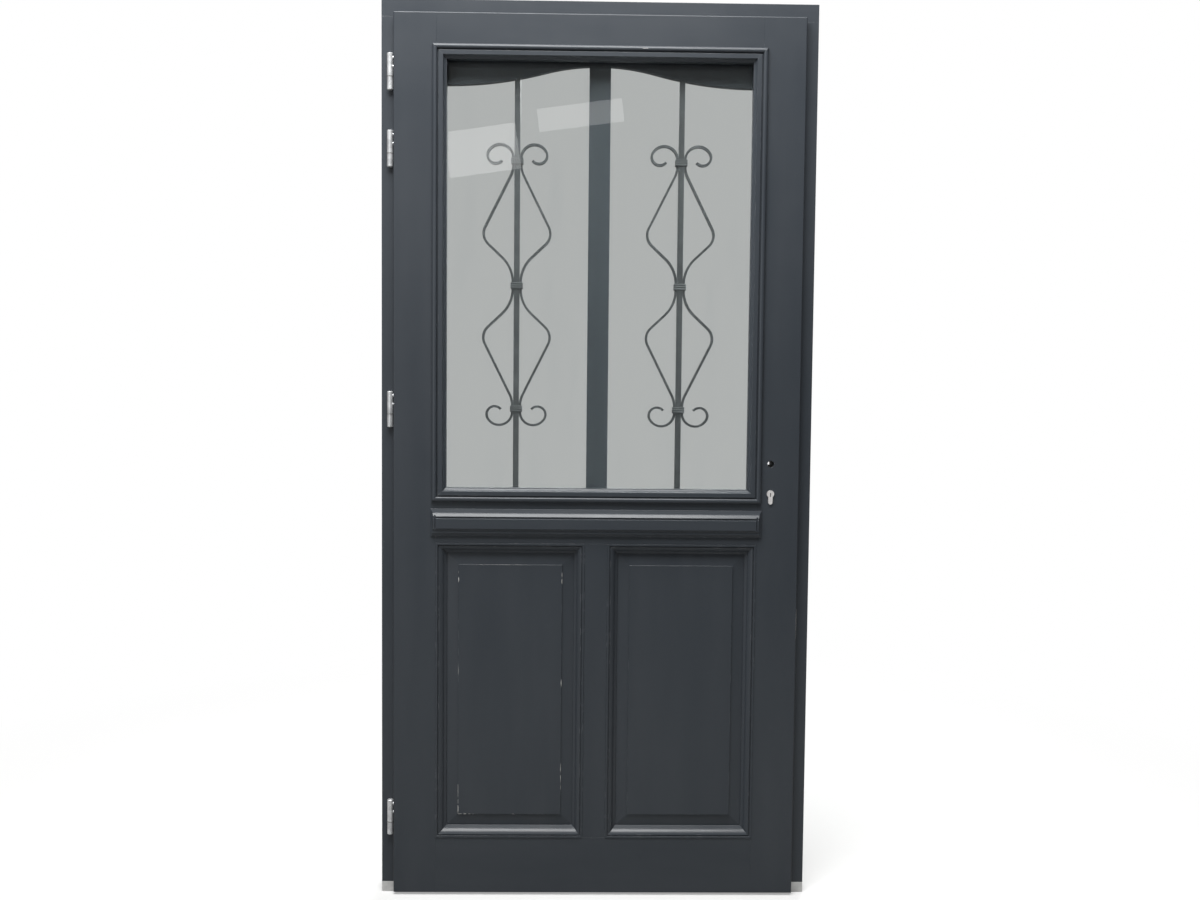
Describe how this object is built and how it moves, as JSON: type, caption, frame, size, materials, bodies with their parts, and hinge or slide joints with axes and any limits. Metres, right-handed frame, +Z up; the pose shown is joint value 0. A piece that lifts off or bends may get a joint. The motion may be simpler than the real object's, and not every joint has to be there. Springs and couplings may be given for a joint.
{
  "type": "glazed wooden front door with frame",
  "caption": "Painted wooden front door in its frame: glazed upper part with scrolled iron bars behind the glass, raised panels below, screw-in hinges and a mortise lock.",
  "frame": {"origin": "middle of the threshold's underside, at half the frame's width and half the jambs' depth", "axes": "+X across the doorway to the lock side, +Y from the room to the street, +Z up"},
  "size_m": [1.01, 0.1265, 2.1],
  "materials": {
    "painted_wood": "satin anthracite paint",
    "threshold_aluminium": "mill finish",
    "seal_rubber": "matt black",
    "spacer_aluminium": "dull",
    "clear_glass": "clear",
    "wrought_iron": "satin dark paint",
    "hinge_steel": "bright zinc",
    "lock_steel": "zinc",
    "cylinder_nickel": "satin nickel"
  },
  "bodies": {
    "frame": {"hinge_jamb": "painted_wood", "lock_jamb": "painted_wood", "frame_head": "painted_wood", "threshold": "threshold_aluminium", "frame_seal": "seal_rubber", "lock_keeper": "lock_steel", "point_keepers": "lock_steel", "keeper_screws": "lock_steel", "top_hinge_frame_half": "hinge_steel", "upper_hinge_frame_half": "hinge_steel", "middle_hinge_frame_half": "hinge_steel", "bottom_hinge_frame_half": "hinge_steel", "hinge_pins": "hinge_steel", "hinge_washers": "hinge_steel"},
    "leaf": {"hinge_stile": "painted_wood", "lock_stile": "painted_wood", "top_rail": "painted_wood", "mid_rail": "painted_wood", "bottom_rail": "painted_wood", "panel_muntin": "painted_wood", "arched_head": "painted_wood", "glazing_mullion": "painted_wood", "belt_moulding": "painted_wood", "weatherboard": "painted_wood", "glazing_bead_top": "painted_wood", "glazing_bead_bottom": "painted_wood", "glazing_bead_left": "painted_wood", "glazing_bead_right": "painted_wood", "left_panel": "painted_wood", "right_panel": "painted_wood", "left_panel_beads": "painted_wood", "right_panel_beads": "painted_wood", "glazing_tape": "seal_rubber", "pane_spacer": "spacer_aluminium", "inner_pane": "clear_glass", "outer_pane": "clear_glass", "door_sweep": "seal_rubber", "left_grille_bar": "wrought_iron", "left_grille_scrolls": "wrought_iron", "left_grille_collars": "wrought_iron", "right_grille_bar": "wrought_iron", "right_grille_scrolls": "wrought_iron", "right_grille_collars": "wrought_iron", "top_hinge_leaf_half": "hinge_steel", "upper_hinge_leaf_half": "hinge_steel", "middle_hinge_leaf_half": "hinge_steel", "bottom_hinge_leaf_half": "hinge_steel", "lock_case": "lock_steel", "point_cases": "lock_steel", "faceplate": "lock_steel", "lock_screws": "lock_steel", "cylinder_body": "cylinder_nickel"},
    "follower": {"follower": "lock_steel"},
    "latch": {"latch_bolt": "lock_steel"},
    "inside_plug": {"inside_plug": "cylinder_nickel", "cylinder_cam": "lock_steel"},
    "outside_plug": {"outside_plug": "cylinder_nickel"},
    "bolts": {"deadbolt": "lock_steel", "pin_bolts": "lock_steel"},
    "rods": {"drive_rods": "lock_steel"}
  },
  "joints": [
    {"name": "leaf_swing", "type": "hinge", "parent": "frame", "child": "leaf", "pos_m": [-0.484, -0.042, 1], "axis": [0, 0, -1], "range_deg": [0, 110]},
    {"name": "follower_turn", "type": "hinge", "parent": "leaf", "child": "follower", "pos_m": [0.408, -0.015, 1.035], "axis": [0, -1, 0], "range_deg": [0, 40]},
    {"name": "latch_slide", "type": "slide", "parent": "leaf", "child": "latch", "axis": [-1, 0, 0], "range_m": [0, 0.012], "stiffness_N_per_m": 300},
    {"name": "inside_plug_turn", "type": "hinge", "parent": "leaf", "child": "inside_plug", "pos_m": [0.408, -0.015, 0.965], "axis": [0, -1, 0], "range_deg": [0, 360]},
    {"name": "outside_plug_turn", "type": "hinge", "parent": "leaf", "child": "outside_plug", "pos_m": [0.408, -0.015, 0.965], "axis": [0, -1, 0], "range_deg": [0, 360]},
    {"name": "bolt_slide", "type": "slide", "parent": "leaf", "child": "bolts", "axis": [1, 0, 0], "range_m": [0, 0.02]},
    {"name": "rod_slide", "type": "slide", "parent": "leaf", "child": "rods", "axis": [0, 0, 1], "range_m": [0, 0.018]}
  ],
  "couplings": [
    {"joint": "follower_turn", "follows": "latch_slide", "rad_per_m": 58.178},
    {"joint": "inside_plug_turn", "follows": "bolt_slide", "rad_per_m": 314.16},
    {"joint": "rod_slide", "follows": "bolt_slide", "ratio": 0.9}
  ]
}
